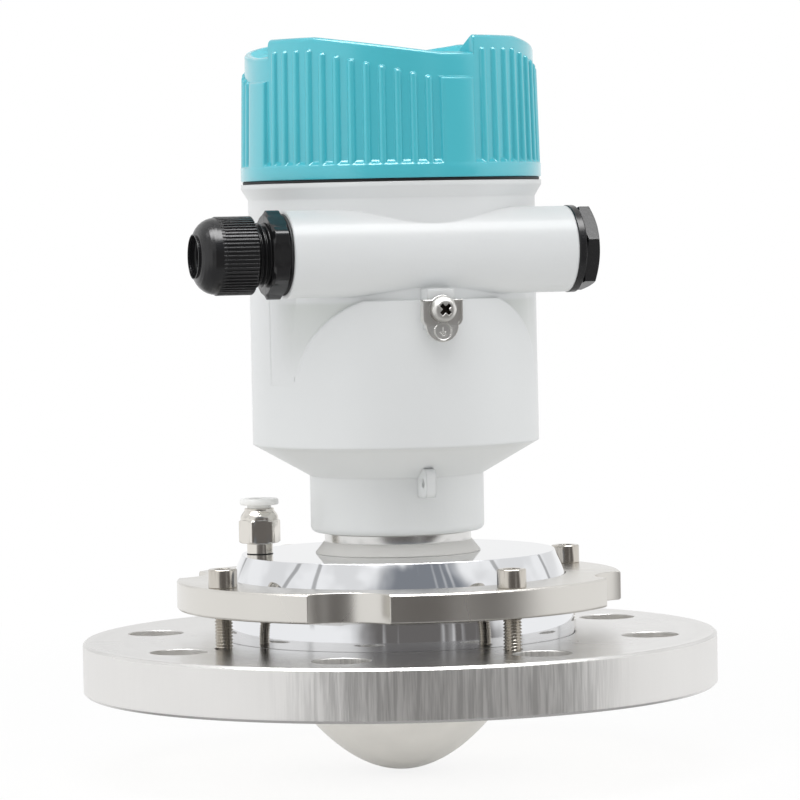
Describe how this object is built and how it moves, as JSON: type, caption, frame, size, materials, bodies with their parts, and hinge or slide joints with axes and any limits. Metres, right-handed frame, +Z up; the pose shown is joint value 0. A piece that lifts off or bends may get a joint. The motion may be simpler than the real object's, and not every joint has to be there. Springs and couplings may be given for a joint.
{
  "type": "radar level transmitter",
  "caption": "Radar level transmitter: swivel ball with lens antenna in a process flange, housing with cable entries, earth terminal and screw cap.",
  "frame": {"origin": "centre of the flange's sealing face", "axes": "+Z up the instrument, X along the conduit tube with the cable gland at -X, -Y towards the earth terminal"},
  "size_m": [0.2, 0.2, 0.2295],
  "materials": {
    "flange_steel": "turned and brushed stainless steel",
    "ring_steel": "machined stainless steel",
    "screw_steel": "nickel-plated steel",
    "ball_mirror": "mirror-polished stainless steel",
    "neck_steel": "fine-turned stainless steel",
    "ptfe": "white PTFE, satin",
    "seal_rubber": "black rubber",
    "module_brass": "plated brass",
    "fitting_nickel": "nickel-plated brass",
    "disc_white": "white moulded plastic",
    "housing_paint": "light grey powder coat, satin",
    "cap_paint": "teal powder coat, semi-gloss",
    "insert_plastic": "black moulded plastic",
    "terminal_plastic": "green moulded plastic",
    "gland_nylon": "black nylon",
    "plated_steel": "stainless steel"
  },
  "bodies": {
    "flange": {"mounting_flange": "flange_steel", "clamp_ring": "ring_steel", "clamp_screws": "screw_steel"},
    "bearing_rings": {"lower_bearing_ring": "ptfe", "upper_bearing_ring": "ptfe"},
    "ball": {"ball": "ball_mirror", "neck_spigot": "neck_steel", "neck_o_ring": "seal_rubber", "microwave_module": "module_brass", "lens": "ptfe", "lens_o_ring": "seal_rubber", "purge_fitting": "fitting_nickel", "purge_seal": "seal_rubber"},
    "release_disc": {"purge_collet": "disc_white"},
    "housing": {"housing": "housing_paint", "housing_lock_screw": "plated_steel", "electronics_insert": "insert_plastic", "insert_screws": "plated_steel", "terminal_block": "terminal_plastic", "terminal_screws": "plated_steel", "gland_flat_seal": "seal_rubber", "gland_body": "gland_nylon"},
    "cap_seal": {"cap_seal": "seal_rubber"},
    "cap": {"cap": "cap_paint"},
    "gland_sleeve": {"gland_sleeve": "seal_rubber"},
    "gland_nut": {"gland_nut": "gland_nylon"},
    "plug_seal": {"plug_o_ring": "seal_rubber"},
    "plug": {"blind_plug": "gland_nylon"},
    "earth_clamp": {"earth_plate": "plated_steel", "earth_washers": "plated_steel"},
    "earth_screw": {"earth_screw": "plated_steel"}
  },
  "joints": [
    {"name": "ball_turn", "type": "hinge", "parent": "flange", "child": "bearing_rings", "pos_m": [0, 0, 0.018], "axis": [0, 0, 1], "continuous": true},
    {"name": "ball_tilt", "type": "hinge", "parent": "bearing_rings", "child": "ball", "pos_m": [0, 0, 0.018], "axis": [1, 0, 0], "range_deg": [-8, 8]},
    {"name": "release_disc_press", "type": "slide", "parent": "ball", "child": "release_disc", "axis": [0, 0, -1], "range_m": [0, 0.001], "stiffness_N_per_m": 400, "springref_m": -0.0005},
    {"name": "housing_turn", "type": "hinge", "parent": "ball", "child": "housing", "pos_m": [0, 0, 0.06], "axis": [0, 0, 1], "range_deg": [-175, 175]},
    {"name": "cap_lift", "type": "slide", "parent": "housing", "child": "cap_seal", "axis": [0, 0, 1], "range_m": [0, 0.009]},
    {"name": "cap_turn", "type": "hinge", "parent": "cap_seal", "child": "cap", "pos_m": [0, 0, 0.16], "axis": [0, 0, 1], "range_deg": [0, 1080]},
    {"name": "gland_nut_shift", "type": "slide", "parent": "housing", "child": "gland_sleeve", "axis": [-1, 0, 0], "range_m": [0, 0.003]},
    {"name": "gland_nut_turn", "type": "hinge", "parent": "gland_sleeve", "child": "gland_nut", "pos_m": [-0.06, -0.035, 0.1372], "axis": [-1, 0, 0], "range_deg": [0, 720]},
    {"name": "plug_shift", "type": "slide", "parent": "housing", "child": "plug_seal", "axis": [1, 0, 0], "range_m": [0, 0.009]},
    {"name": "plug_turn", "type": "hinge", "parent": "plug_seal", "child": "plug", "pos_m": [0.05, -0.035, 0.1372], "axis": [1, 0, 0], "range_deg": [0, 2160]},
    {"name": "earth_clamp_shift", "type": "slide", "parent": "housing", "child": "earth_clamp", "axis": [0, -1, 0], "range_m": [0, 0.0028]},
    {"name": "earth_screw_turn", "type": "hinge", "parent": "earth_clamp", "child": "earth_screw", "pos_m": [0, -0.052, 0.1198], "axis": [0, -1, 0], "range_deg": [0, 1440]}
  ],
  "couplings": [
    {"joint": "cap_lift", "follows": "cap_turn", "m_per_rad": 0.00047746},
    {"joint": "gland_nut_turn", "follows": "gland_nut_shift", "rad_per_m": 4188.8},
    {"joint": "plug_turn", "follows": "plug_shift", "rad_per_m": 4188.8},
    {"joint": "earth_screw_turn", "follows": "earth_clamp_shift", "rad_per_m": 8976}
  ]
}
